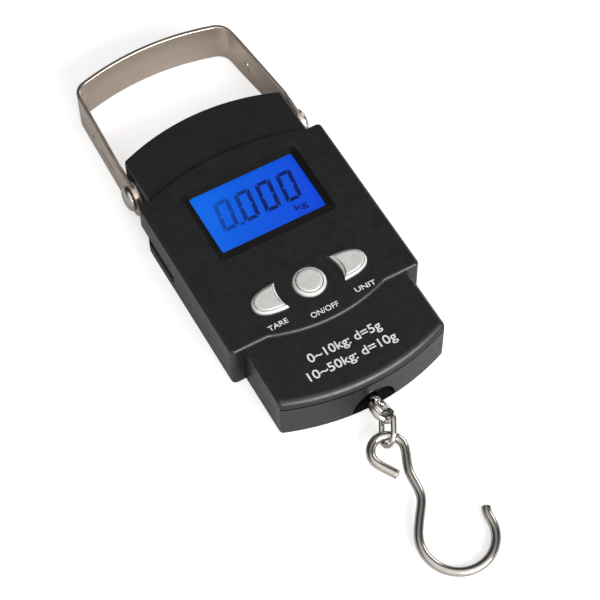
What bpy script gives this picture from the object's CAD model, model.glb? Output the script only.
"""Looks of the digital fish scale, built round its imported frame.

The scale lies on its back: X runs across the display, Y from the hook to the handle, and +Z is the way the
display faces. Shapes are written in millimetres and every mesh is built in metres.
"""

import math

import bmesh
import bpy
from mathutils import Matrix, Vector


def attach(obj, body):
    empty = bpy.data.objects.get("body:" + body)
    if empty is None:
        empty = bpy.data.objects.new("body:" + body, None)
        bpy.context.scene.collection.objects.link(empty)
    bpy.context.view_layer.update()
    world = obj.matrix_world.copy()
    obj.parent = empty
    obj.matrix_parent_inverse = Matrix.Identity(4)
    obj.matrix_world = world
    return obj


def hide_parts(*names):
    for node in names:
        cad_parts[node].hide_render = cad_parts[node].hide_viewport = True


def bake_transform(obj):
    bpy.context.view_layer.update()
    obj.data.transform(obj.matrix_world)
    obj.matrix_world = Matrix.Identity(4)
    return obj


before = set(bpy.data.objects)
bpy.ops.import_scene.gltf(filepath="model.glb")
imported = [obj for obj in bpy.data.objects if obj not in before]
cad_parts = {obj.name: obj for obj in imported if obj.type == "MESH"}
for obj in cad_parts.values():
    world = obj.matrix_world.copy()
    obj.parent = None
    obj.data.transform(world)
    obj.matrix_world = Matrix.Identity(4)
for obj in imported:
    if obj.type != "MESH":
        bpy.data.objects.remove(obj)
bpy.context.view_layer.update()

MM = 0.001
GAP = 0.3

# Case
WIDE_HALF = 33.0
WIDE_END = 31.3
NARROW_HALF = 28.65
TOP_APEX, TOP_CORNER = 55.2, 49.4
BOTTOM_APEX, BOTTOM_CORNER = -59.0, -53.4
PANEL_TOP_APEX = 36.3
PANEL_BOTTOM_APEX, PANEL_BOTTOM_HALF = -35.2, 20.5
REAR_WIDE_END = 26.2
CORNER = 1.6
WALL = 1.8
REAR_TOP = 8.48
FRONT_BOTTOM = 8.6
NARROW_TOP = 17.4
PANEL_TOP = 18.5
PANEL_ROOF = 17.2
NARROW_ROOF = 16.0
FLOOR = 1.5
GROOVE_Z, GROOVE_DEPTH = (14.1, 14.9), 0.35

# Display and buttons
DISPLAY_Y = 14.15
DISPLAY_HALF = (18.4, 11.5)
DISPLAY_X = 0.7
BEZEL = (-20.5 + DISPLAY_X, 20.5 + DISPLAY_X, -0.7, 27.5)
LCD_TOP = 16.0
BUTTON_Y = -20.4
BUTTON_LOW, BUTTON_TOP = 16.3, 19.7
ROUND_RADIUS = 5.3
FAN_TIP_X, FAN_LENGTH, FAN_HALF = 9.8, 10.0, 4.9

# Handle
PIVOT_Y, PIVOT_Z = 41.5, 8.2
STRAP_HALF = 7.7
ARM_HALF = 6.3
TAPER_Y = 74.0
STRAP_HALF_THICK = 0.7
ARM_MIDDLE = 30.3
BAR_APEX, BAR_CORNER, BAR_BEND = 88.9, 84.6, 4.5
ARM_LEAN, BAR_SHIFT, LEAN_START = 2.6, 1.5, 50.0
RIB_Y, SMALL_HOLE_Y = (52.0, 68.6), 70.5

# Load path
LOAD_Z = 6.0
EYE_Y, EYE_RADIUS, EYE_WIRE, EYE_TURN = -64.2, 3.7, 1.2, math.radians(-45)
LINK_WIRE, LINK_HALF, LINK_PLAY, LINK_ROLL = 0.9, 3.4, 0.7, math.radians(60)
HOOK_WIRE = 1.45
HOOK_EYE, HOOK_EYE_RADIUS = Vector((-4.8, -76.4)), 5.3
HOOK_BEND, HOOK_BEND_RADIUS, HOOK_RISE = Vector((-0.6, -109.0)), 11.4, 0.065

# Back
DOOR_X, DOOR_Y, LIP_REACH = 9.2, (-26.4, 22.9), 1.3
REEL, COIL_OUTER = Vector((-18.6, 7.4)), 7.9
TAB_Y, TAB_Z = (8.0, 24.5), (0.3, 8.0)
BLADE_START_X, BLADE_HALF, BLADE_Z = -30.0, 2.5, 5.1
BATTERY_X, BATTERY_Z = (14.4, 25.3), 6.75
CASE_SCREWS = ((-20.0, 31.5), (20.0, 31.5), (-22.0, -46.0), (22.0, -46.0))


# ---------------------------------------------------------------- materials


class Surface:
    """A Principled material with its nodes laid out step by step."""

    def __init__(self, name, colour, roughness, metallic=0.0, **fixed):
        self.mat = bpy.data.materials.new(name)
        self.mat.use_nodes = True
        self.tree = self.mat.node_tree
        self.shader = self.tree.nodes["Principled BSDF"]
        self.colour = (*colour, 1.0)
        self.set("Base Color", self.colour)
        self.set("Roughness", roughness)
        self.set("Metallic", metallic)
        for socket, value in fixed.items():
            self.set(socket.replace("_", " "), value)
        self.where = self.tree.nodes.new("ShaderNodeTexCoord").outputs["Object"]
        self.bump = None

    def set(self, socket, value):
        self.shader.inputs[socket].default_value = value

    def node(self, kind, **values):
        made = self.tree.nodes.new(kind)
        for key, value in values.items():
            if key in made.inputs:
                made.inputs[key].default_value = value
            else:
                setattr(made, key, value)
        return made

    def link(self, out, into):
        self.tree.links.new(out, into)

    def feed(self, into, value):
        """Links a socket into an input, or sets the input to a number or a colour."""
        if hasattr(value, "links"):
            self.link(value, into)
        else:
            into.default_value = value

    def paint(self, colour):
        self.base = colour
        self.link(colour, self.shader.inputs["Base Color"])

    def position(self):
        """The place on the object in metres, as sockets X, Y and Z."""
        made = self.node("ShaderNodeSeparateXYZ")
        self.link(self.where, made.inputs["Vector"])
        return made.outputs

    def arith(self, operation, *values):
        made = self.node("ShaderNodeMath", operation=operation)
        for into, value in zip(made.inputs, values):
            self.feed(into, value)
        return made.outputs["Value"]

    def noise(self, size, detail=3.0, stretch=(1, 1, 1)):
        """Noise whose features are about size millimetres, drawn out along an axis by a small stretch."""
        mapping = self.node("ShaderNodeMapping")
        mapping.inputs["Scale"].default_value = stretch
        self.link(self.where, mapping.inputs["Vector"])
        made = self.node("ShaderNodeTexNoise", Scale=1 / (size * MM), Detail=detail, Roughness=0.55)
        self.link(mapping.outputs["Vector"], made.inputs["Vector"])
        return made.outputs["Fac"]

    def ramp(self, value, low, high, start=0.3, end=0.7):
        """Turns a value into one between low and high."""
        made = self.node("ShaderNodeMapRange")
        for socket, number in (("From Min", start), ("From Max", end), ("To Min", low), ("To Max", high)):
            made.inputs[socket].default_value = number
        self.link(value, made.inputs["Value"])
        return made.outputs["Result"]

    def mix(self, factor, a, b, blend="MIX"):
        made = self.node("ShaderNodeMix", data_type="RGBA", blend_type=blend)
        self.feed(made.inputs["Factor"], factor)
        for index, value in ((6, a), (7, b)):
            self.feed(made.inputs[index], value if hasattr(value, "links") else (*value, 1.0)[:4])
        return made.outputs[2]

    def tone(self, size, amount, **noise):
        """Slow variation between the base colour and a darker one."""
        darker = [c * (1 - amount) for c in self.colour[:3]]
        self.paint(self.mix(self.ramp(self.noise(size, **noise), 0, 1), self.colour[:3], darker))
        return self

    def sheen_range(self, size, low, high, **noise):
        """Lets the roughness wander between low and high."""
        self.link(self.ramp(self.noise(size, **noise), low, high), self.shader.inputs["Roughness"])
        return self

    def relief(self, size, depth, **noise):
        """Adds bump of a depth in millimetres."""
        made = self.node("ShaderNodeBump", Strength=1.0, Distance=depth * MM)
        self.link(self.noise(size, **noise), made.inputs["Height"])
        if self.bump:
            self.link(self.bump, made.inputs["Normal"])
        self.bump = made.outputs["Normal"]
        self.link(self.bump, self.shader.inputs["Normal"])
        return self

    def worn(self, width, colour, amount=0.7):
        """Lighter, rubbed edges, broken up by noise."""
        edge = self.node("ShaderNodeBevel", samples=4)
        edge.inputs["Radius"].default_value = width * MM
        geometry = self.node("ShaderNodeNewGeometry")
        dot = self.node("ShaderNodeVectorMath", operation="DOT_PRODUCT")
        self.link(edge.outputs["Normal"], dot.inputs[0])
        self.link(geometry.outputs["Normal"], dot.inputs[1])
        mask = self.ramp(dot.outputs["Value"], amount, 0, 0.9, 0.995)
        broken = self.arith("MULTIPLY", mask, self.ramp(self.noise(1.4, 4.0), 0.2, 1.0))
        self.paint(self.mix(broken, self.base, colour))
        return self


def plastic(name, colour, roughness, grain=0.35, depth=0.006):
    made = Surface(name, colour, roughness)
    made.tone(9.0, 0.25)
    made.sheen_range(2.2, roughness - 0.05, roughness + 0.06)
    made.relief(grain, depth, detail=2.0)
    return made


def matt_plastic(name, colour):
    """Dull black for the slopes round the display and the groove in the hook end."""
    made = plastic(name, colour, 0.7, 0.2)
    made.set("Specular IOR Level", 0.08)
    return made.mat


def silver_paint():
    made = Surface("silver_paint", (0.54, 0.55, 0.53), 0.36, 0.25)
    made.tone(2.5, 0.12)
    made.sheen_range(1.0, 0.28, 0.4)
    made.relief(0.18, 0.004)
    made.worn(0.3, (0.6, 0.6, 0.58), 0.5)
    return made.mat


def metal(name, colour, roughness, spread=0.06, stretch=(1, 1, 1), size=0.5, depth=0.004):
    made = Surface(name, colour, roughness, 1.0)
    made.tone(6.0, 0.15, stretch=stretch)
    made.sheen_range(size, roughness - spread, roughness + spread, stretch=stretch)
    made.relief(size * 0.6, depth, stretch=stretch)
    return made


BLACK = plastic("black_abs", (0.0078, 0.0076, 0.0081), 0.37).worn(0.25, (0.035, 0.035, 0.037)).mat
DARK = plastic("dark_abs", (0.02, 0.02, 0.021), 0.46).worn(0.25, (0.06, 0.06, 0.062)).mat
BEZEL_BLACK = matt_plastic("bezel_black", (0.004, 0.004, 0.0045))
SILVER = silver_paint()
STEEL = metal("brushed_strap", (0.61, 0.525, 0.45), 0.34, 0.08, (0.03, 0.03, 1.0), 0.3, 0.006).mat
NICKEL = metal("nickel_wire", (0.56, 0.53, 0.49), 0.17, 0.05, (1, 0.3, 1), 0.5, 0.003).mat
ZINC = metal("zinc_steel", (0.58, 0.58, 0.55), 0.34, 0.07).mat
ALUMINIUM = metal("machined_aluminium", (0.76, 0.77, 0.78), 0.38, 0.06, (1, 0.1, 1), 0.3).mat
RUBBER = plastic("grey_rubber", (0.16, 0.16, 0.16), 0.75, 0.5, 0.02).mat
EPOXY = plastic("black_epoxy", (0.012, 0.012, 0.012), 0.3, 0.2, 0.003).mat
BOARD = plastic("solder_mask", (0.015, 0.13, 0.04), 0.4, 0.8, 0.01).mat
DIFFUSER = plastic("milky_diffuser", (0.8, 0.83, 0.88), 0.55).mat
FOIL = plastic("gauge_foil", (0.7, 0.4, 0.1), 0.4, 0.25, 0.01).mat
WIRE_RED = plastic("red_insulation", (0.5, 0.02, 0.02), 0.45, 0.5, 0.005).mat
NYLON = plastic("white_nylon", (0.78, 0.78, 0.75), 0.5).mat


def window_material():
    made = Surface("clear_window", (0.93, 0.96, 1.0), 0.03, Transmission_Weight=1.0, IOR=1.46)
    made.sheen_range(3.0, 0.02, 0.05)
    made.relief(9.0, 0.002)
    return made.mat


def glow_material(name, stops, strength, base):
    """Lit from behind: the colour runs across the display."""
    made = Surface(name, base, 0.25)
    made.relief(0.4, 0.002)
    place = made.position()
    along = made.arith("MULTIPLY_ADD", place["Y"], -0.45, place["X"])
    ramp = made.node("ShaderNodeValToRGB")
    ramp.color_ramp.elements.remove(ramp.color_ramp.elements[1])
    for index, (share, colour) in enumerate(stops):
        stop = ramp.color_ramp.elements[0] if index == 0 else ramp.color_ramp.elements.new(share)
        stop.position = share
        stop.color = (*colour, 1.0)
    made.link(made.ramp(along, 0, 1, -0.030, 0.018), ramp.inputs["Fac"])
    mottle = made.mix(made.ramp(made.noise(5.0, 2.0), 0.0, 0.25), (1, 1, 1), (0.85, 0.9, 1.0))
    glow = made.mix(1.0, ramp.outputs["Color"], mottle, "MULTIPLY")
    made.link(glow, made.shader.inputs["Emission Color"])
    made.set("Emission Strength", strength)
    return made.mat


WINDOW = window_material()
GLOW_STOPS = ((0.0, (0.0, 0.19, 0.95)), (0.35, (0.0, 0.125, 0.86)), (1.0, (0.002, 0.062, 0.78)))
DIGIT_STOPS = ((0.0, (0.0, 0.13, 0.62)), (0.22, (0.0, 0.075, 0.45)), (0.5, (0.0, 0.012, 0.16)),
               (1.0, (0.0, 0.006, 0.10)))
LCD = glow_material("lcd_glow", GLOW_STOPS, 0.83, (0.0, 0.02, 0.12))
DIGIT = glow_material("lcd_digit", DIGIT_STOPS, 0.9, (0.0, 0.004, 0.02))


def print_material():
    made = Surface("printed_ink", (0.58, 0.58, 0.57), 0.55)
    made.tone(0.5, 0.3, detail=5.0)
    made.relief(0.2, 0.004)
    return made.mat


INK = print_material()


def battery_material():
    """A dark sleeve whose part towards the handle is copper-coloured."""
    made = Surface("battery_sleeve", (0.02, 0.02, 0.022), 0.3)
    made.tone(4.0, 0.2)
    band = made.ramp(made.position()["Y"], 0, 1, 0.0085, 0.0086)
    made.paint(made.mix(band, made.base, (0.45, 0.24, 0.1)))
    made.relief(0.6, 0.003)
    return made.mat


def tape_material():
    """Yellow paint with a dark tick at every millimetre and a longer one at every fifth."""
    made = Surface("tape_paint", (0.72, 0.50, 0.03), 0.36)
    made.tone(3.0, 0.12)
    place = made.position()
    for pitch, width, top in ((0.001, 0.16, 0.0042), (0.005, 0.05, 0.0056)):
        part = made.arith("FRACT", made.arith("MULTIPLY", place["X"], 1 / pitch))
        tick, low = made.arith("LESS_THAN", part, width), made.arith("LESS_THAN", place["Z"], top)
        made.paint(made.mix(made.arith("MULTIPLY", tick, low), made.base, (0.02, 0.02, 0.02)))
    made.relief(0.8, 0.004)
    return made.mat


BATTERY = battery_material()
TAPE = tape_material()


# ---------------------------------------------------------------- mesh tools, in millimetres


def solid(name, bm):
    bmesh.ops.recalc_face_normals(bm, faces=bm.faces)
    bmesh.ops.scale(bm, vec=(MM, MM, MM), verts=bm.verts)
    mesh = bpy.data.meshes.new(name)
    bm.to_mesh(mesh)
    bm.free()
    obj = bpy.data.objects.new(name, mesh)
    bpy.context.scene.collection.objects.link(obj)
    return obj


def drop(obj):
    mesh = obj.data
    bpy.data.objects.remove(obj, do_unlink=True)
    bpy.data.meshes.remove(mesh)


def combine(obj, other, operation):
    step = obj.modifiers.new("step", "BOOLEAN")
    step.operation = operation
    step.solver = "EXACT"
    step.object = other
    made = bpy.data.meshes.new_from_object(obj.evaluated_get(bpy.context.evaluated_depsgraph_get()))
    obj.modifiers.clear()
    old = obj.data
    made.name = old.name
    obj.data = made
    bpy.data.meshes.remove(old)
    drop(other)
    return obj


def cut(obj, other):
    return combine(obj, other, "DIFFERENCE")


def join(obj, other):
    return combine(obj, other, "UNION")


def show(obj, skin, body, replaces=(), angle=32, weighted=True):
    """Finishes a piece: material, shading, the body it rides on and the CAD nodes it stands for."""
    mesh = obj.data
    mesh.materials.clear()
    for material in skin if isinstance(skin, (list, tuple)) else [skin]:
        mesh.materials.append(material)
    mesh.shade_smooth()
    mesh.set_sharp_from_angle(angle=math.radians(angle))
    if weighted:
        normals = obj.modifiers.new("normals", "WEIGHTED_NORMAL")
        normals.keep_sharp = True
    if replaces:
        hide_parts(*([replaces] if isinstance(replaces, str) else replaces))
    if body:
        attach(obj, body)
    return obj


def placed(axis, a, b, h):
    """A point at height h along an axis, and at a and b across it."""
    return {"X": (h, a, b), "Y": (a, h, b), "Z": (a, b, h)}[axis]


def loft(rings, closed=False):
    """Joins rings of points of one length into a skin, with a flat face on each end unless it is closed."""
    bm = bmesh.new()
    rows = [[bm.verts.new(p) for p in ring] for ring in rings]
    count = len(rows[0])
    for lower, upper in zip(rows, rows[1:] + ([rows[0]] if closed else [])):
        for i in range(count):
            j = (i + 1) % count
            bm.faces.new((lower[i], lower[j], upper[j], upper[i]))
    if not closed:
        bm.faces.new(rows[0])
        bm.faces.new(rows[-1])
    return bm


def prism(name, outline, low, high, axis="Z"):
    return solid(name, loft([[placed(axis, a, b, h) for a, b in outline] for h in (low, high)]))


def block(name, x0, x1, y0, y1, z0, z1):
    return prism(name, [(x0, y0), (x1, y0), (x1, y1), (x0, y1)], z0, z1)


def ray(angle):
    return Vector((math.cos(angle), math.sin(angle)))


def circle(centre, radius, sides=48):
    turns = [math.tau * i / sides for i in range(sides)]
    return [(centre[0] + radius * math.cos(turn), centre[1] + radius * math.sin(turn)) for turn in turns]


def lathe(name, centre, profile, axis="Z", sides=64, closed=False):
    rings = [[placed(axis, a, b, h) for a, b in circle(centre, radius, sides)] for radius, h in profile]
    return solid(name, loft(rings, closed))


def tube(name, points, radius, sides=24, closed=False, chamfer=0.25):
    """Sweeps a round wire along points and rounds its cut ends a little."""
    path = [Vector(p) for p in points]
    count = len(path)
    rings, normal = [], None
    for i, point in enumerate(path):
        before = path[(i - 1) % count] if closed else path[max(i - 1, 0)]
        after = path[(i + 1) % count] if closed else path[min(i + 1, count - 1)]
        along = (after - before).normalized()
        if normal is None:
            normal = along.orthogonal().normalized()
        normal = (normal - along * normal.dot(along)).normalized()
        across = along.cross(normal)
        spots = [(0.0, radius)]
        if not closed and i == 0:
            spots = [(0.0, radius - chamfer), (chamfer * 0.35, radius - chamfer * 0.3), (chamfer, radius)]
        elif not closed and i == count - 1:
            spots = [(-chamfer, radius), (-chamfer * 0.35, radius - chamfer * 0.3), (0.0, radius - chamfer)]
        for shift, size in spots:
            rings.append([point + along * shift + size * (math.cos(math.tau * k / sides) * normal
                                                          + math.sin(math.tau * k / sides) * across)
                          for k in range(sides)])
    if closed:
        shift = min(range(sides), key=lambda s: (rings[-1][s] - rings[0][0]).length)
        rings[-1] = rings[-1][shift:] + rings[-1][:shift]
        return solid(name, closed_tube(rings, shift))
    return solid(name, loft(rings))


def closed_tube(rings, shift):
    """A closed sweep whose last ring was turned to meet the first: the one before it meets it unturned."""
    sides = len(rings[0])
    bm = bmesh.new()
    rows = [[bm.verts.new(p) for p in ring] for ring in rings]
    last = rows[-1]
    unturned = last[sides - shift:] + last[:sides - shift]
    pairs = list(zip(rows[:-2], rows[1:-1])) + [(rows[-2], unturned), (last, rows[0])]
    for lower, upper in pairs:
        for k in range(sides):
            j = (k + 1) % sides
            bm.faces.new((lower[k], lower[j], upper[j], upper[k]))
    return bm


def smooth_path(points, steps):
    """Catmull-Rom through the points."""
    out = []
    for i in range(len(points) - 1):
        a, b = points[max(i - 1, 0)], points[i]
        c, d = points[i + 1], points[min(i + 2, len(points) - 1)]
        for k in range(steps):
            t = k / steps
            out.append(0.5 * (2 * b + (c - a) * t + (2 * a - 5 * b + 4 * c - d) * t * t
                              + (3 * b - a - 3 * c + d) * t ** 3))
    out.append(points[-1])
    return out


def rounded(outline, radius, steps=6):
    """Rounds every corner of an outline that turns by more than 30 degrees."""
    result = []
    count = len(outline)
    for i in range(count):
        here = Vector(outline[i])
        back = Vector(outline[i - 1]) - here
        on = Vector(outline[(i + 1) % count]) - here
        turn = math.pi - back.angle(on)
        if turn < math.radians(30):
            result.append(tuple(here))
            continue
        reach = min(radius * math.tan(turn / 2), 0.45 * back.length, 0.45 * on.length)
        bend = reach / math.tan(turn / 2)
        start, end = here + back.normalized() * reach, here + on.normalized() * reach
        middle = here + (back.normalized() + on.normalized()).normalized() * (bend / math.cos(turn / 2))
        first, last = start - middle, end - middle
        sweep = first.angle_signed(last)
        for step in range(steps + 1):
            arm = first.copy()
            arm.rotate(Matrix.Rotation(-sweep * step / steps, 2))
            result.append(tuple(middle + arm))
    return result


def offset(outline, distance):
    """Moves a counter-clockwise outline inwards by distance."""
    result = []
    count = len(outline)
    for i in range(count):
        here = Vector(outline[i])
        a = (here - Vector(outline[i - 1])).normalized()
        b = (Vector(outline[(i + 1) % count]) - here).normalized()
        inward = (Vector((-a.y, a.x)) + Vector((-b.y, b.x))).normalized()
        half = math.sqrt(max((1 + a.dot(b)) / 2, 0.1))
        result.append(tuple(here + inward * (distance / half)))
    return result


def round_rim(obj, width, low, high=None, steps=5):
    """Rounds the edges that run round a solid between two heights."""
    high = low if high is None else high
    bm = bmesh.new()
    bm.from_mesh(obj.data)
    inside = [e for e in bm.edges if all(low - 0.01 <= v.co.z / MM <= high + 0.01 for v in e.verts)]
    bmesh.ops.bevel(bm, geom=inside, offset=width * MM, segments=steps, affect="EDGES", profile=0.5,
                    clamp_overlap=True)
    bm.to_mesh(obj.data)
    bm.free()
    return obj


def flared(name, outline, low, top, radius=0.25, steps=3):
    """A cutter whose hole opens in a small quarter round at the surface."""
    rings = [[(x, y, low) for x, y in outline]]
    for step in range(steps + 1):
        angle = math.pi / 2 * step / steps
        grown = offset(outline, -radius * (1 - math.cos(angle)))
        rings.append([(x, y, top - radius + radius * math.sin(angle)) for x, y in grown])
    rings.append([(x, y, top + 1.5) for x, y in grown])
    return solid(name, loft(rings))


# ---------------------------------------------------------------- case


def arc(apex, corner, half, steps, reverse=False):
    """A shallow arch across the case, from x = -half to half."""
    points = [(-half + 2 * half * i / steps, apex + (corner - apex) * (2 * i / steps - 1) ** 2)
              for i in range(steps + 1)]
    return points[::-1] if reverse else points


def arc_y(x):
    """Where the hook end's wall lies at this distance from the middle."""
    return BOTTOM_APEX + (BOTTOM_CORNER - BOTTOM_APEX) * (x / NARROW_HALF) ** 2


def narrow_outline(inset=0.0, shoulder=0.0):
    """The narrow body in plan, with its hook end drawn back by the shoulder as well."""
    bottom = arc(BOTTOM_APEX + shoulder, BOTTOM_CORNER + shoulder, NARROW_HALF, 32)
    top = arc(TOP_APEX, TOP_CORNER, NARROW_HALF, 32, True)
    return rounded(offset(bottom + top, inset), max(CORNER - inset, 0.5))


def wide_outline(end, inset=0.0):
    corners = [(-WIDE_HALF, -WIDE_END), (WIDE_HALF, -WIDE_END), (WIDE_HALF, end), (-WIDE_HALF, end)]
    return rounded(offset(corners, inset), max(CORNER - inset, 0.5))


def panel_outline():
    bottom = arc(PANEL_BOTTOM_APEX, -WIDE_END, PANEL_BOTTOM_HALF, 28)
    top = arc(PANEL_TOP_APEX, WIDE_END, NARROW_HALF - 0.2, 28, True)
    corners = [(-WIDE_HALF, -WIDE_END)] + bottom + [(WIDE_HALF, -WIDE_END), (WIDE_HALF, WIDE_END)] + top
    return rounded(corners + [(-WIDE_HALF, WIDE_END)], CORNER)


def shell_plan(name, inset, low, high):
    """The rear shell's plan as a solid: the narrow body and the wide middle together."""
    made = prism(name, narrow_outline(inset), low, high)
    return join(made, prism(name + "_wide", wide_outline(REAR_WIDE_END, inset), low, high))


def arch_cutter():
    """The opening for the load eye: an arch on a thin sill along the back face."""
    middle, half, sill, height = 0.9, 7.5, 0.6, 9.4
    outline = [(middle - half * math.cos(math.pi * i / 28), sill + height * math.sin(math.pi * i / 28))
               for i in range(29)]
    return prism("arch_shape", outline, -62.0, -55.0, "Y")


def pivot_hole(side):
    low, high = sorted((side * 26.4, side * 30.0))
    return prism("pivot_hole_shape", circle((PIVOT_Y, PIVOT_Z), 2.4, 40), low, high, "X")


def bezel_cutter():
    """The display's opening, with slopes that widen towards the panel's face."""
    left, right, low, high = BEZEL
    outer = rounded([(left, low), (right, low), (right, high), (left, high)], 1.6)
    half_x, half_y = DISPLAY_HALF
    corners = ((-half_x, -half_y), (half_x, -half_y), (half_x, half_y), (-half_x, half_y))
    inner = rounded([(DISPLAY_X + x, DISPLAY_Y + y) for x, y in corners], 0.8)
    rings = [[(x, y, PANEL_ROOF - 1.0) for x, y in inner], [(x, y, PANEL_ROOF + 0.15) for x, y in inner]]
    rings.append([(x, y, PANEL_TOP - 0.16) for x, y in offset(outer, 0.16)])
    rings.append([(x, y, PANEL_TOP - 0.05) for x, y in offset(outer, 0.05)])
    rings.append([(x, y, PANEL_TOP + 0.03) for x, y in offset(outer, -0.12)])
    rings.append([(x, y, PANEL_TOP + 1.0) for x, y in offset(outer, -0.12)])
    return solid("bezel_shape", loft(rings))


def fan_outline(side, grow=0.0):
    """A fan-shaped button: pointed towards the round button above and below, and hollow between."""
    fine, reach, half = 28, FAN_LENGTH + grow, FAN_HALF + grow
    power = 2 / 2.4
    points = []
    for i in range(fine + 1):
        angle = -math.pi / 2 + math.pi * i / fine
        x = FAN_TIP_X - grow + (reach + grow) * abs(math.cos(angle)) ** power
        points.append((x, half * math.copysign(abs(math.sin(angle)) ** power, math.sin(angle))))
    for i in range(1, 10):
        y = half * (1 - i / 5)
        points.append((FAN_TIP_X - grow + 1.0 * (1 - (y / half) ** 2), y))
    turned = [(side * x, BUTTON_Y + y) for x, y in points]
    return turned if side > 0 else turned[::-1]


def narrow_shell():
    """The front's narrow body, with a broad round over its hook end and a smaller one on its sides."""
    side, end = 1.1, 2.4
    rings = [[(x, y, FRONT_BOTTOM) for x, y in narrow_outline()]]
    for step in range(11):
        angle = math.pi / 2 * step / 10
        z = NARROW_TOP - end + end * math.sin(angle)
        climb = max(z - NARROW_TOP + side, 0.0)
        inset = side - math.sqrt(side * side - climb * climb)
        rings.append([(x, y, z) for x, y in narrow_outline(inset, end * (1 - math.cos(angle)) - inset)])
    return solid("front_shell", loft(rings))


def front_case():
    """The front half with the raised panel, its openings and the groove in the hook end."""
    case = narrow_shell()
    band = [(x, arc_y(x) + GROOVE_DEPTH) for x in range(-30, 31, 2)] + [(30, -80), (-30, -80)]
    cut(case, prism("groove_shape", band, *GROOVE_Z))
    panel = round_rim(prism("panel_shape", panel_outline(), FRONT_BOTTOM, PANEL_TOP), 1.0, PANEL_TOP)
    join(case, panel)
    cut(case, prism("end_hollow", narrow_outline(WALL), 7.0, NARROW_ROOF))
    cut(case, prism("middle_hollow", wide_outline(WIDE_END, WALL), 7.0, PANEL_ROOF))
    cut(case, shell_plan("lip_rebate", 0.8, 7.0, FRONT_BOTTOM + 0.9))
    cut(case, bezel_cutter())
    for side in (-1, 1):
        cut(case, flared("fan_hole", fan_outline(side, 0.3), 16.0, PANEL_TOP))
        cut(case, pivot_hole(side))
    cut(case, flared("round_hole", circle((0, BUTTON_Y), ROUND_RADIUS + 0.3, 56), 16.0, PANEL_TOP))
    cut(case, arch_cutter())
    show(case, [BLACK, BEZEL_BLACK], "case", "front_case")
    left, right, low, high = BEZEL
    for face in case.data.polygons:
        x, y, z = face.center / MM
        slope = 0.3 < face.normal.z < 0.95 and z < PANEL_TOP - 0.02
        bezel = slope and left - 0.2 < x < right + 0.2 and low - 0.2 < y < high + 0.2
        groove = GROOVE_Z[0] - 0.05 < z < GROOVE_Z[1] + 0.05 and 0.05 < y - arc_y(x) < 0.5
        if bezel or groove:
            face.material_index = 1


def rear_case():
    """The rear half with its lip, screw posts, reel housing and the openings for door, tab and blade."""
    case = round_rim(prism("rear_shell", narrow_outline(), 0.0, REAR_TOP), 0.8, 0.0, steps=4)
    join(case, round_rim(prism("rear_wide", wide_outline(REAR_WIDE_END), 0.0, REAR_TOP), 0.8, 0.0, steps=4))
    join(case, shell_plan("lip_shape", 1.0, REAR_TOP - 0.5, REAR_TOP + 0.9))
    cut(case, prism("rear_end_hollow", narrow_outline(WALL), FLOOR, 9.5))
    cut(case, prism("rear_middle_hollow", wide_outline(REAR_WIDE_END, WALL), FLOOR, 9.5))
    for place in CASE_SCREWS:
        join(case, prism("boss", circle(place, 3.4, 36), FLOOR - 0.7, REAR_TOP))
    rings = ((9.5, FLOOR - 0.5), (10.4, FLOOR - 0.5), (10.4, REAR_TOP), (9.5, REAR_TOP))
    join(case, lathe("reel_housing", REEL, rings, sides=56, closed=True))
    cut(case, block("door_opening", DOOR_X - GAP, 35, DOOR_Y[0] - GAP, DOOR_Y[1] + GAP, -1, 9.6))
    reach = LIP_REACH + GAP
    cut(case, block("lip_opening", 31.0, 35, DOOR_Y[0] - reach, DOOR_Y[1] + reach, -1, 9.6))
    cut(case, block("tab_opening", -35, -29.9, TAB_Y[0] - GAP, TAB_Y[1] + GAP, -1, 9.6))
    blade_y = REEL.y + COIL_OUTER
    cut(case, block("blade_opening", -27, -22, blade_y - 0.4, blade_y + 1.1, FLOOR + 0.3, 9.6))
    for place in CASE_SCREWS:
        profile = [(2.75, -1.0), (2.75, 0.0), (2.5, 0.25), (2.5, 2.4), (1.25, 2.4), (1.25, 9.0)]
        cut(case, lathe("screw_hole", place, profile, sides=40))
    cut(case, arch_cutter())
    for side in (-1, 1):
        cut(case, pivot_hole(side))
    show(case, BLACK, "case", "rear_case")


# ---------------------------------------------------------------- display


def display():
    plan = rounded([(-21.0, 0.2), (21.0, 0.2), (21.0, 28.0), (-21.0, 28.0)], 1.2)
    window = round_rim(prism("window_plate", plan, 16.3, 16.9), 0.12, 16.9, steps=2)
    show(window, WINDOW, "case", "display_window")
    glass = rounded([(-19.6, 1.0), (19.6, 1.0), (19.6, 27.2), (-19.6, 27.2)], 0.4, 3)
    panel = round_rim(prism("lcd_glass_plate", glass, 15.0, LCD_TOP), 0.12, LCD_TOP, steps=2)
    show(panel, LCD, "case", "lcd_panel")


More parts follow.
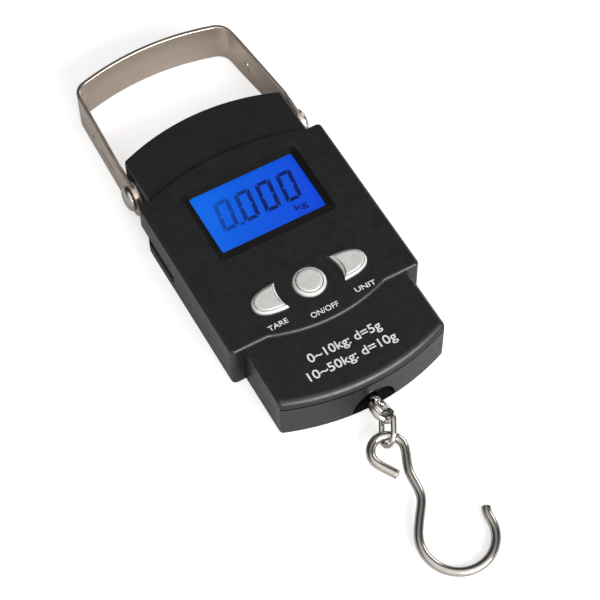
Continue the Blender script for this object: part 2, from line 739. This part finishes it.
def digits():
    """The lit figures: seven-segment zeros that lean a little, a point after the first, and the unit."""
    width, height, stroke, gap, slant, chamfer = 5.5, 11.5, 1.4, 0.05, 0.145, 0.75
    left, base, pitch = -13.4, 9.8, 7.5
    low, high = LCD_TOP - 0.01, LCD_TOP + 0.04
    top = [(chamfer + gap, height), (width - chamfer - gap, height),
           (width - stroke - gap, height - stroke), (stroke + gap, height - stroke)]
    side = [(0, height - chamfer - gap), (chamfer * 0.35, height - chamfer * 0.35),
            (stroke, height - stroke - gap), (stroke, height / 2 + stroke / 2),
            (stroke / 2, height / 2 + gap), (0, height / 2 + gap)]
    shapes = []
    for flip_y in (False, True):
        shapes.append([(x, height - y if flip_y else y) for x, y in top])
        for flip_x in (False, True):
            shapes.append([(width - x if flip_x else x, height - y if flip_y else y) for x, y in side])
    bm = bmesh.new()
    dot = [(width + 0.55, -0.25), (width + 1.65, -0.25), (width + 1.65, 0.95), (width + 0.55, 0.95)]
    for index in range(4):
        for shape in shapes + ([dot] if index == 0 else []):
            turned = [(left + index * pitch + x + slant * y, base + y) for x, y in shape]
            if sum(a[0] * b[1] - b[0] * a[1] for a, b in zip(turned, turned[1:] + turned[:1])) < 0:
                turned.reverse()
            rings = [[bm.verts.new((x, y, z)) for x, y in turned] for z in (low, high)]
            for i in range(len(turned)):
                j = (i + 1) % len(turned)
                bm.faces.new((rings[0][i], rings[0][j], rings[1][j], rings[1][i]))
            bm.faces.new(rings[0][::-1])
            bm.faces.new(rings[1])
    show(solid("lcd_digits", bm), DIGIT, "case", weighted=False)


def lettering(name, words, left, right, base, height, z, tilt=0.0):
    """Raised ink in the built-in typeface, fitted between two ends and to a height."""
    thick, sunk, capital = 0.04, 0.02, 0.694
    curve = bpy.data.curves.new(name, "FONT")
    curve.body = words
    curve.resolution_u = 6
    curve.extrude = 0.1
    curve.offset = 0.012
    text = bpy.data.objects.new(name + "_text", curve)
    bpy.context.scene.collection.objects.link(text)
    bpy.context.view_layer.update()
    mesh = bpy.data.meshes.new_from_object(text.evaluated_get(bpy.context.evaluated_depsgraph_get()))
    bpy.data.objects.remove(text, do_unlink=True)
    bpy.data.curves.remove(curve)
    xs = [v.co.x for v in mesh.vertices]
    across = (right - left) / (max(xs) - min(xs))
    tall = height / capital
    for v in mesh.vertices:
        x, y = (v.co.x - min(xs)) * across, v.co.y * tall
        y += tilt * (x - (right - left) / 2)
        v.co = Vector((left + x, base + y, z + (thick if v.co.z > 0 else -sunk))) * MM
    mesh.name = name
    obj = bpy.data.objects.new(name, mesh)
    bpy.context.scene.collection.objects.link(obj)
    return obj


def labels():
    unit = lettering("lcd_unit", "kg", 10.2, 14.6, 5.9, 2.3, LCD_TOP)
    show(unit, DIGIT, "case", weighted=False)
    rows = (
        ("label_tare", "TARE", -19.1, -12.4, -29.9, 1.75, PANEL_TOP, 0.03),
        ("label_power", "ON/OFF", -5.6, 3.9, -32.3, 1.85, PANEL_TOP, 0.0),
        ("label_unit", "UNIT", 10.6, 17.6, -31.0, 1.75, PANEL_TOP, -0.03),
        ("label_range_low", "0~10kg: d=5g", -13.6, 11.4, -45.0, 3.0, NARROW_TOP, 0.0),
        ("label_range_high", "10~50kg: d=10g", -16.6, 13.6, -50.6, 3.0, NARROW_TOP, 0.0),
    )
    for name, words, left, right, base, height, z, tilt in rows:
        made = lettering(name, words, left, right, base, height, z, tilt)
        show(made, INK, "case", weighted=False)


# ---------------------------------------------------------------- buttons


def buttons():
    """Two fans and a disc, each with a fine groove round its raised middle and a flange under the panel."""
    top = BUTTON_TOP
    for name, side in (("tare_button", -1), ("unit_button", 1)):
        rows = ((0.0, BUTTON_LOW), (0.0, top - 1.0), (-0.1, top - 0.8), (-0.3, top - 0.62),
                (-0.68, top - 0.45), (-0.74, top - 0.5), (-0.76, top - 1.1), (-0.96, top - 1.1),
                (-0.98, top - 0.28), (-1.1, top - 0.08), (-1.3, top - 0.02), (-1.7, top))
        rings = [[(x, y, z) for x, y in fan_outline(side, grow)] for grow, z in rows]
        cap = solid(name + "_cap", loft(rings))
        low, high = sorted((side * 11.0, side * 18.2))
        rim = block(name + "_rim", low, high, BUTTON_Y - 5.6, BUTTON_Y + 5.6, BUTTON_LOW, BUTTON_LOW + 0.6)
        show(join(cap, rim), SILVER, name, name, angle=50)
    flange = ROUND_RADIUS + 0.8
    profile = [(flange, BUTTON_LOW), (flange, BUTTON_LOW + 0.6), (ROUND_RADIUS, BUTTON_LOW + 0.6),
               (ROUND_RADIUS, top - 1.05), (ROUND_RADIUS - 0.12, top - 0.78),
               (ROUND_RADIUS - 0.4, top - 0.55), (4.52, top - 0.4), (4.44, top - 0.46),
               (4.42, top - 1.2), (4.14, top - 1.2), (4.12, top - 0.3), (4.02, top - 0.1),
               (3.8, top - 0.01), (3.2, top), (0.4, top)]
    round_cap = lathe("power_button_cap", (0, BUTTON_Y), profile, sides=72)
    show(round_cap, SILVER, "power_button", "power_button", angle=50)


# ---------------------------------------------------------------- handle


def strap_line():
    """The middle of the strap in plan, from the left arm's end to the right arm's, about every millimetre."""
    half, reach = ARM_MIDDLE, ARM_MIDDLE - BAR_BEND
    foot, bend_start = PIVOT_Y - STRAP_HALF, BAR_CORNER - BAR_BEND
    arm = [Vector((-half, foot + i)) for i in range(int(bend_start - foot))]
    a, b, c = Vector((half, bend_start)), Vector((half, BAR_CORNER)), Vector((reach, BAR_CORNER + 1.0))
    bend = []
    for i in range(13):
        t = i / 12
        bend.append((1 - t) ** 2 * a + 2 * t * (1 - t) * b + t * t * c)
    bar = [Vector(p) for p in arc(BAR_APEX, BAR_CORNER + 1.0, reach, 44)][1:-1]
    left = [Vector((-p.x, p.y)) for p in bend]
    return [lean(p) for p in arm + left + bar + bend[::-1] + [Vector((-p.x, p.y)) for p in arm[::-1]]]


def lean(point):
    """Where a point of the straight-armed strap lies once its arms lean in and its bar is shifted."""
    part = min(max((point.y - LEAN_START) / (BAR_CORNER - LEAN_START), 0.0), 1.0)
    return Vector((point.x * (1 - part * ARM_LEAN / ARM_MIDDLE) - part * BAR_SHIFT, point.y))


def strap_section(depth):
    """The strap's section: points across its width with their height, and a channel pressed depth deep."""
    half, thick, edge = STRAP_HALF, STRAP_HALF_THICK, 0.42
    across = [-half + edge + (2 * half - 2 * edge) * i / 36 for i in range(37)]
    outer = [(t, thick - depth * channel(t)) for t in across]
    inner = [(t, -thick - depth * channel(t)) for t in across[::-1]]
    right = [(half - edge + edge * math.sin(a), thick - edge + edge * math.cos(a))
             for a in (math.pi / 8, math.pi / 4, math.pi * 3 / 8, math.pi / 2)]
    left_low = [(-t, -h) for t, h in right]
    right_low = [(t, -h) for t, h in right[::-1]]
    left = [(-t, h) for t, h in right[::-1]]
    return outer + right + right_low + inner + left_low + left


def channel(t):
    """1 along the middle of the pressed rib, falling to 0 at its sides."""
    fall = min(max((1.75 - abs(t)) / 0.8, 0.0), 1.0)
    return fall * fall * (3 - 2 * fall)


def handle():
    """The strap with its pressed ribs: its arms narrow towards the pivots and end round."""
    path = strap_line()
    rings = []
    for i, point in enumerate(path):
        along = (path[min(i + 1, len(path) - 1)] - path[max(i - 1, 0)]).normalized()
        outward = Vector((-along.y, along.x))
        depth = 0.0
        if point.y < RIB_Y[1]:
            depth = 0.55 * max(0.0, min((point.y - RIB_Y[0]) / 2.0, (RIB_Y[1] - point.y) / 2.0, 1.0))
        part = min(max((point.y - PIVOT_Y) / (TAPER_Y - PIVOT_Y), 0.0), 1.0)
        width = (ARM_HALF + (STRAP_HALF - ARM_HALF) * part) / STRAP_HALF
        ring = []
        for t, height in strap_section(depth):
            spot = point + outward * height
            ring.append((spot.x, spot.y, PIVOT_Z + t * width))
        rings.append(ring)
    strap = solid("handle_strap", loft(rings))
    turns = [math.pi * i / 32 for i in range(-16, 17)]
    ends = [(PIVOT_Y - ARM_HALF * math.cos(turn), PIVOT_Z + ARM_HALF * math.sin(turn)) for turn in turns]
    ends += [(PIVOT_Y, PIVOT_Z + 12), (PIVOT_Y - 12, PIVOT_Z + 12), (PIVOT_Y - 12, PIVOT_Z - 12),
             (PIVOT_Y, PIVOT_Z - 12)]
    cut(strap, prism("strap_end", ends, -36, 36, "X"))
    for side in (-1, 1):
        low, high = sorted((side * 24.0, side * 33.0))
        cut(strap, prism("pivot_hole", circle((PIVOT_Y, PIVOT_Z), 2.4, 40), low, high, "X"))
        middle = lean(Vector((side * ARM_MIDDLE, SMALL_HOLE_Y))).x
        profile = [(r, middle + x) for r, x in ((2.6, -1.4), (1.2, -0.15), (1.2, 0.15), (2.6, 1.4))]
        cut(strap, lathe("small_hole", (SMALL_HOLE_Y, PIVOT_Z), profile, "X", 36))
    show(strap, STEEL, "handle", "handle", angle=38)


def pivots():
    profile = [(1.5, 18.0), (1.5, 26.6), (2.1, 26.6), (2.1, 31.25), (4.0, 31.25), (4.3, 31.4), (4.35, 31.7),
               (4.2, 32.1), (3.75, 32.55), (3.0, 32.95), (2.0, 33.2), (1.0, 33.28), (0.35, 33.3)]
    for word, side in (("left", -1), ("right", 1)):
        rows = [(r, side * x) for r, x in profile]
        head = lathe(f"handle_pivot_{word}_head", (PIVOT_Y, PIVOT_Z), rows, "X", 56)
        show(head, NICKEL, "case", "handle_pivot_" + word)


# ---------------------------------------------------------------- eye, link and hook


def load_eye():
    """The eye: a ring, open where it meets the threaded shank that runs to the load cell."""
    top = EYE_Y + EYE_RADIUS
    opening = math.radians(12)
    points = []
    for i in range(73):
        angle = math.pi / 2 + opening + (math.tau - 2 * opening) * i / 72
        out = EYE_RADIUS * math.cos(angle)
        points.append((out * math.sin(EYE_TURN), EYE_Y + EYE_RADIUS * math.sin(angle),
                       LOAD_Z + out * math.cos(EYE_TURN)))
    eye = tube("load_eye_ring", points, EYE_WIRE, 24, chamfer=0.1)
    shank = [(1.5, top - 0.7), (1.75, top - 0.5), (1.9, top - 0.1), (1.95, top + 0.5), (2.0, top + 0.8)]
    for i in range(12):
        shank += [(2.0, top + 2.2 + i * 0.9), (1.75, top + 2.5 + i * 0.9)]
    shank.append((2.0, -4.0))
    join(eye, lathe("shank", (0.0, LOAD_Z), shank, "Y", 32))
    show(eye, NICKEL, "case", "hook_eye", angle=45)


def hook_point(flat):
    """A point of the hook's wire: it lies on the table at its bend and rises a little towards its eye."""
    foot = HOOK_BEND.y - HOOK_BEND_RADIUS
    return Vector((flat.x, flat.y, 1.52 + HOOK_RISE * max(flat.y - foot, 0.0)))


def link_and_hook():
    """The link hangs between the eye and the hook's eye; the hook is one bent wire."""
    upper = Vector((0.0, EYE_Y - EYE_RADIUS, LOAD_Z))
    towards = (upper.xy - HOOK_EYE).normalized()
    lower = hook_point(HOOK_EYE + towards * HOOK_EYE_RADIUS)
    along = (lower - upper).normalized()
    level = along.cross(Vector((0, 0, 1))).normalized()
    raised = level.cross(along)
    across = math.cos(LINK_ROLL) * level - math.sin(LINK_ROLL) * raised
    first = upper - along * (EYE_WIRE + LINK_WIRE + LINK_PLAY - LINK_HALF)
    last = lower + along * (HOOK_WIRE + LINK_WIRE + LINK_PLAY - LINK_HALF)
    points = []
    for centre, side in ((first, -1), (last, 1)):
        for i in range(33):
            angle = math.pi * i / 32
            points.append(centre + LINK_HALF * side * (math.cos(angle) * across + math.sin(angle) * along))
    link = tube("link_wire", points, LINK_WIRE, 20, closed=True)
    show(link, NICKEL, "link", "connecting_link", angle=60)

    eye = [HOOK_EYE + HOOK_EYE_RADIUS * ray(math.radians(a)) for a in (192, 165, 135, 105, 75, 45, 15, -12)]
    tail = [Vector((-6.1, -84.2)), Vector((-8.3, -80.7))]
    waist = [Vector(p) for p in ((-1.4, -81.6), (-2.7, -85.4), (-2.9, -89.4), (-3.6, -93.9), (-6.8, -98.2))]
    bend = [HOOK_BEND + HOOK_BEND_RADIUS * ray(math.radians(a)) for a in range(148, 375, 20)]
    flat = smooth_path(tail + eye + waist + bend + [Vector((11.6, -105.3))], 8)
    for _ in range(14):
        flat[1:-1] = [(a + 2 * b + c) / 4 for a, b, c in zip(flat, flat[1:], flat[2:])]
    hook = tube("hook_wire", [hook_point(p) for p in flat], HOOK_WIRE, 28)
    show(hook, NICKEL, "hook", "hook", angle=40)


# ---------------------------------------------------------------- back: door, tape, screws and cells


def battery_door():
    """The door with its finger lip, the two rails that hold it and its grip grooves."""
    low, high = DOOR_Y
    door = round_rim(block("door_plate", DOOR_X, WIDE_HALF, low, high, 0.0, 1.2), 0.3, 0.0, steps=3)
    lip = block("door_lip", 31.5, WIDE_HALF, low - LIP_REACH, high + LIP_REACH, 0.0, REAR_TOP - 0.3)
    join(door, round_rim(lip, 0.3, 0.0, REAR_TOP, steps=3))
    for edge, side in ((low, -1), (high, 1)):
        a, b = sorted((edge - side * 1.2, edge + side * 1.1))
        c, d = sorted((edge - side * 1.2, edge - side * 0.2))
        join(door, block("door_web", 11.0, 26.0, c, d, 0.9, 2.2))
        join(door, block("door_rail", 10.5, 26.5, a, b, 1.8, 2.6))
    middle = (low + high) / 2
    for i in range(6):
        x = 25.0 + i * 1.0
        corners = [(x, middle - 7), (x + 0.5, middle - 7), (x + 0.5, middle + 7), (x, middle + 7)]
        cut(door, prism("door_groove", rounded(corners, 0.24, 4), -0.5, 0.35))
    for i in range(9):
        y = middle - 5 + i * 1.25
        cut(door, block("lip_groove", 32.6, 34, y - 0.3, y + 0.3, 1.5, 6.5))
    show(door, BLACK, "battery_door", "battery_door")


def tape():
    """The tab in the left wall, the blade that runs from it to the reel, and the coil on the reel."""
    tab = block("tab_plate", -WIDE_HALF, -31.2, *TAB_Y, TAB_Z[0], 4.4)
    round_rim(tab, 0.35, TAB_Z[0], 4.4, steps=3)
    join(tab, round_rim(block("tab_upright", -31.7, -30.3, *TAB_Y, *TAB_Z), 0.2, TAB_Z[1], steps=3))
    for i in range(3):
        z = 1.3 + i * 0.9
        cut(tab, block("tab_groove", -34, -WIDE_HALF + 0.18, TAB_Y[0] + 3, TAB_Y[1] - 3, z, z + 0.28))
    show(tab, DARK, "tape", "tape_tab")

    blade_y = REEL.y + COIL_OUTER + GAP
    rings = []
    for i in range(121):
        x = BLADE_START_X + (REEL.x - BLADE_START_X) * i / 120
        ring = []
        for thick in (0.0, 0.25):
            for k in range(7):
                t = (k / 3 - 1) * (1 if thick == 0.0 else -1)
                ring.append((x, blade_y + thick, BLADE_Z + BLADE_HALF * t))
        rings.append(ring)
    blade = show(solid("tape_strip", loft(rings)), TAPE, None, "tape_blade")
    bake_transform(blade)

    coil = [(3.9, 2.6)]
    for i in range(13):
        r = 3.95 + 3.9 * i / 12
        coil += [(r, 2.6), (r + 0.12, 2.72)] if i < 12 else [(7.9, 2.6)]
    wound = coil + [(r, 10.2 - z) for r, z in coil[::-1]]
    show(lathe("tape_wound", REEL, wound, sides=56, closed=True), TAPE, "reel", "tape_coil")


def screws():
    """Four cross-headed case screws with their threads."""
    for index, place in enumerate(CASE_SCREWS):
        profile = [(1.6, 0.46), (2.0, 0.56), (2.18, 0.8), (2.2, 2.1), (0.95, 2.1)]
        for i in range(16):
            profile += [(0.95, 2.5 + i * 0.68), (1.18, 2.75 + i * 0.68), (0.95, 3.0 + i * 0.68)]
        profile += [(0.95, 13.4), (0.4, 14.0)]
        screw = lathe(f"case_screw_{index + 1}_head", place, profile, sides=32)
        for turn in (0.35 + index * 0.6, 0.35 + index * 0.6 + math.pi / 2):
            a, b = ray(turn), ray(turn).orthogonal()
            corners = ((-1, -1), (1, -1), (1, 1), (-1, 1))
            slot = [tuple(Vector(place) + a * u * 1.35 + b * v * 0.3) for u, v in corners]
            cut(screw, prism("cross_slot", slot, -0.5, 1.3))
        show(screw, ZINC, "case", f"case_screw_{index + 1}")


def batteries():
    """Two cells side by side, the second one the other way round."""
    low, high, radius, ends_sum = -23.6, 20.9, 5.25, -5.1
    for index, x in enumerate(BATTERY_X):
        profile = [(2.6, low), (radius - 0.5, low), (radius - 0.45, low + 0.12), (radius - 0.2, low + 0.12),
                   (radius, low + 0.4), (radius, high - 1.4), (radius - 0.2, high - 1.12),
                   (radius - 0.8, high - 1.0), (2.2, high - 1.0), (1.9, high - 0.9), (1.9, high - 0.12),
                   (1.75, high), (0.5, high)]
        if index:
            profile = [(r, ends_sum - y) for r, y in profile]
        cell = lathe(f"battery_{index + 1}_cell", (x, BATTERY_Z), profile, "Y", 48)
        show(cell, BATTERY, "case", f"battery_{index + 1}")


CARRIED = (
    (DIFFUSER, "backlight_panel"),
    (DARK, "battery_holder tape_cover tape_reel"),
    (NICKEL, "battery_contact_1 battery_contact_2 battery_spring_1 battery_spring_2"),
    (EPOXY, "battery_wire_black controller_chip power_switch tare_switch unit_switch"),
    (WIRE_RED, "battery_wire_red"),
    (ZINC, "board_screw_1 board_screw_2 board_screw_3 board_screw_4 cross_bar eye_nut load_cell_screw_1"
           " load_cell_screw_2 tape_axle tape_return_spring"),
    (BOARD, "circuit_board"),
    (RUBBER, "lcd_connector_strip load_cell_cable"),
    (ALUMINIUM, "load_cell"),
    (NYLON, "pivot_washer_left pivot_washer_right"),
    (FOIL, "strain_gauge_1 strain_gauge_2"),
)


def carried_nodes():
    """Gives its material to every CAD node that the looks keep."""
    for skin, names in CARRIED:
        for name in names.split():
            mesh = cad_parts[name].data
            mesh.materials.clear()
            mesh.materials.append(skin)


# ---------------------------------------------------------------- stage, light and camera


def floor():
    """A pale floor that looks whiter to the camera than it shines on the scale."""
    half, top, bottom, glow = 15000, -0.02, -4.0, 0.58
    made = Surface("pale_floor", (0.5, 0.5, 0.505), 0.7, Emission_Color=(1, 1, 1, 1))
    seen = made.node("ShaderNodeLightPath").outputs["Is Camera Ray"]
    made.link(made.ramp(seen, 0.0, glow, 0.0, 1.0), made.shader.inputs["Emission Strength"])
    made.tone(400.0, 0.02)
    made.relief(2.0, 0.02)
    plane = block("floor", -half, half, -half, half, bottom, top)
    plane.data.materials.append(made.mat)


def softbox(name, direction, distance, size, power):
    """A rectangular light, aimed at the scale from a direction and a distance in metres."""
    light = bpy.data.lights.new(name, "AREA")
    light.shape = "RECTANGLE"
    light.size, light.size_y = size
    light.energy = power
    obj = bpy.data.objects.new(name, light)
    bpy.context.scene.collection.objects.link(obj)
    out = Vector(direction).normalized()
    obj.location = out * distance
    obj.rotation_mode = "QUATERNION"
    obj.rotation_quaternion = out.to_track_quat("Z", "Y")


def lights():
    """A dim studio that brightens above the left of the hook end, and two softboxes."""
    world = bpy.data.worlds.new("studio")
    world.use_nodes = True
    nodes, links = world.node_tree.nodes, world.node_tree.links
    where = nodes.new("ShaderNodeTexCoord")
    lobe = nodes.new("ShaderNodeVectorMath")
    lobe.operation = "DOT_PRODUCT"
    lobe.inputs[1].default_value = Vector((-0.35, -0.55, 0.76))
    ramp = nodes.new("ShaderNodeValToRGB")
    ramp.color_ramp.elements[0].position = 0.38
    ramp.color_ramp.elements[0].color = (0.07, 0.07, 0.075, 1)
    ramp.color_ramp.elements[1].position = 0.82
    ramp.color_ramp.elements[1].color = (1.3, 1.28, 1.25, 1)
    links.new(where.outputs["Generated"], lobe.inputs[0])
    links.new(lobe.outputs["Value"], ramp.inputs["Fac"])
    links.new(ramp.outputs["Color"], nodes["Background"].inputs["Color"])
    nodes["Background"].inputs["Strength"].default_value = 1.0
    bpy.context.scene.world = world
    softbox("key", (0.2, -0.85, 0.5), 1.6, (1.4, 0.7), 42.0)
    softbox("side", (0.85, 0.3, 0.42), 1.6, (0.7, 0.7), 6.0)
    bpy.context.scene.view_settings.view_transform = "Standard"


def camera():
    """The calibrated camera."""
    lens = bpy.data.cameras.new("camera")
    lens.sensor_width = 36.0
    lens.lens = 116.213
    lens.clip_start, lens.clip_end = 0.02, 20.0
    obj = bpy.data.objects.new("camera", lens)
    bpy.context.scene.collection.objects.link(obj)
    right = Vector((0.8718332, -0.48968944, -0.01054177))
    up = Vector((0.42062871, 0.73750475, 0.52835427))
    back = Vector((-0.2509549, -0.46507097, 0.84895856))
    turn = Matrix((right, up, back)).transposed().to_4x4()
    obj.matrix_world = Matrix.Translation(Vector((-153.5288, -298.6490, 518.5721)) * MM) @ turn
    bpy.context.scene.camera = obj


front_case()
rear_case()
display()
digits()
labels()
buttons()
handle()
pivots()
load_eye()
link_and_hook()
battery_door()
tape()
screws()
batteries()
carried_nodes()
floor()
lights()
camera()

bpy.context.view_layer.update()
